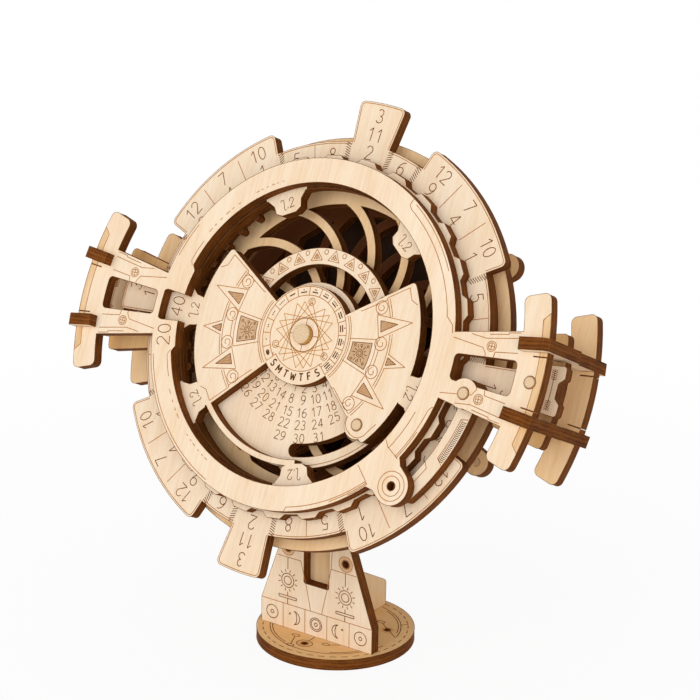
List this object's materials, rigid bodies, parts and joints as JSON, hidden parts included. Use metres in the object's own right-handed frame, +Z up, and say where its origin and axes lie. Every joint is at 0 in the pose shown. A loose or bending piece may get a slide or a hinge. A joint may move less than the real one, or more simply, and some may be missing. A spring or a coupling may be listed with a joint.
{
  "type": "perpetual desk calendar",
  "caption": "Free-standing plywood calendar: a tilted stack of toothed rings on a round foot, with a turning year cage, a turning month and date dial and a small latch lever.",
  "frame": {"origin": "centre of the foot's underside, on the table", "axes": "+X right as seen from the front, +Y to the back, +Z up; the faces of the discs look towards -Y and up"},
  "size_m": [0.1426, 0.0693, 0.1436],
  "materials": {
    "birch_ply": "bare laser-cut plywood",
    "burnt_ply": "plywood seen on its burnt cut edge",
    "peg_wood": "bare dowel"
  },
  "bodies": {
    "stand": {"base_disc": "birch_ply", "stand_front": "birch_ply", "stand_panel": "birch_ply", "rib_left": "birch_ply", "rib_right": "birch_ply", "hub_plate": "birch_ply", "axle": "peg_wood", "axle_washer": "peg_wood", "axle_sleeve": "peg_wood", "year_plate": "birch_ply", "wing_peg": "peg_wood"},
    "cage": {"cage_front": "birch_ply", "cage_rear": "birch_ply", "cage_backing": "burnt_ply", "clip_right_upper": "burnt_ply", "clip_right_lower": "burnt_ply", "clip_left_upper": "burnt_ply", "clip_left_lower": "burnt_ply", "spacer_plate_right": "birch_ply", "spacer_plate_left": "birch_ply", "yoke_right": "birch_ply", "yoke_left": "birch_ply", "lever_peg": "peg_wood", "bar_peg": "peg_wood", "rear_pins": "peg_wood"},
    "dial": {"date_plate": "birch_ply", "month_ring": "birch_ply", "ring_spacer": "birch_ply", "hub_spacer": "birch_ply", "month_wheel": "birch_ply", "ring_pegs": "peg_wood", "hub_pegs": "peg_wood"},
    "lever": {"lever": "birch_ply"}
  },
  "joints": [
    {"name": "cage_turn", "type": "hinge", "parent": "stand", "child": "cage", "pos_m": [0, -0.0186, 0.0901], "axis": [0, -0.9063, 0.4226], "continuous": true},
    {"name": "dial_turn", "type": "hinge", "parent": "stand", "child": "dial", "pos_m": [0, -0.0186, 0.0901], "axis": [0, -0.9063, 0.4226], "range_deg": [-35.5, 41.6]},
    {"name": "lever_swing", "type": "hinge", "parent": "cage", "child": "lever", "pos_m": [0.05073, -0.02083, 0.08532], "axis": [0, -0.9063, 0.4226], "range_deg": [-2.8, 6]}
  ]
}
